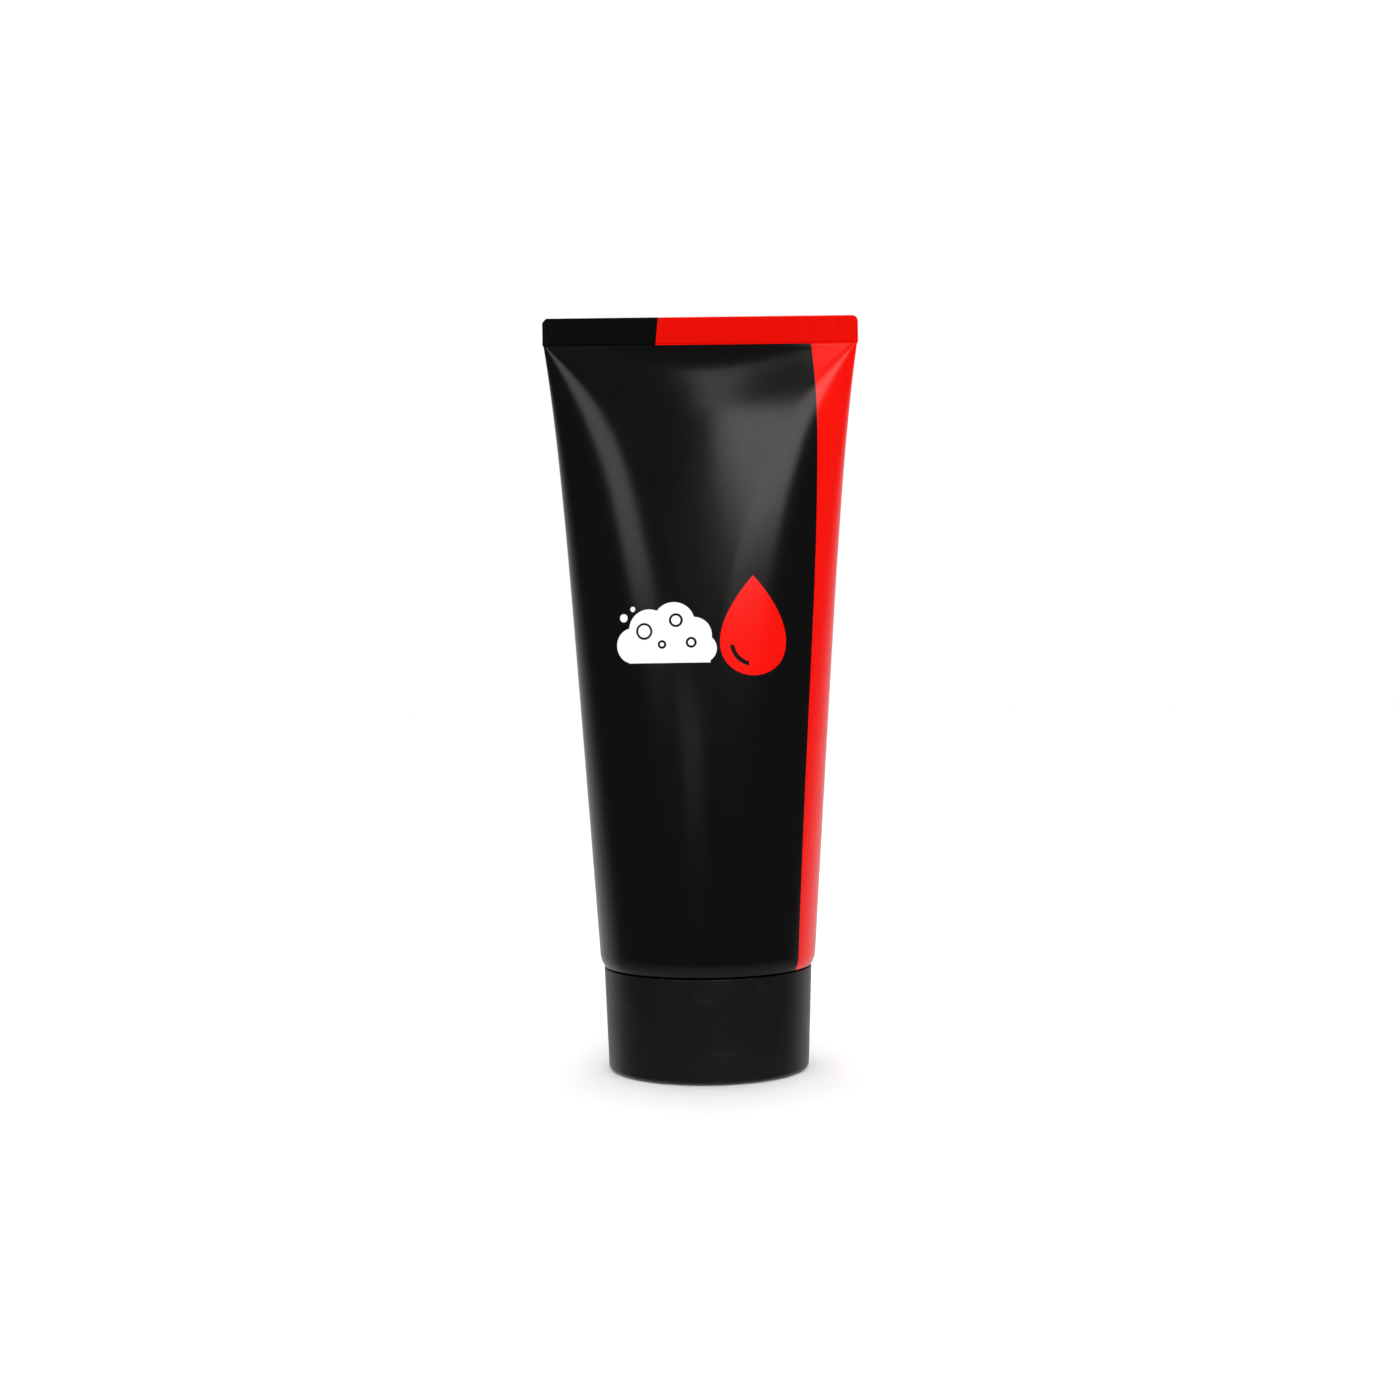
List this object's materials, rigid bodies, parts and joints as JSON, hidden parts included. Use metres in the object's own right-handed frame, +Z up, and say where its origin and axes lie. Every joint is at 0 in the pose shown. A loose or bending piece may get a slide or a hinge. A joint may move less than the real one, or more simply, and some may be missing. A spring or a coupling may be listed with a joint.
{
  "type": "shaving cream tube",
  "caption": "Squeeze tube standing on a wide round screw cap, with a flat crimped end on top, a red band down one side, a threaded neck with a foil seal, and its cream.",
  "frame": {"origin": "on the tube's axis, in the plane that the cap stands on", "axes": "+Z up along the tube's axis from the cap to the crimped end, +X along the crimped end's width, -Y towards the printed front"},
  "size_m": [0.076, 0.0516, 0.18],
  "materials": {
    "sleeve_print": "satin black lacquer over a soft plastic sleeve, with a red printed band",
    "head_polymer": "moulded, slightly waxy",
    "foil": "bright rolled foil",
    "cream": "soft white cream",
    "liner_foam": "fine white foam",
    "cap_polymer": "satin moulded black"
  },
  "bodies": {
    "cap": {"screw_cap": "cap_polymer"},
    "liner": {"cap_liner": "liner_foam"},
    "tube": {"tube_sleeve": "sleeve_print", "tube_head": "head_polymer", "foil_membrane": "foil", "cream_fill": "cream"}
  },
  "joints": [
    {"name": "cap_turn", "type": "hinge", "parent": "cap", "child": "liner", "pos_m": [0, 0, 0.005], "axis": [0, 0, 1], "range_deg": [0, 900]},
    {"name": "cap_lift", "type": "slide", "parent": "liner", "child": "tube", "axis": [0, 0, 1], "range_m": [0, 0.01501]}
  ],
  "couplings": [
    {"joint": "cap_lift", "follows": "cap_turn", "m_per_rad": 0.00095493}
  ]
}
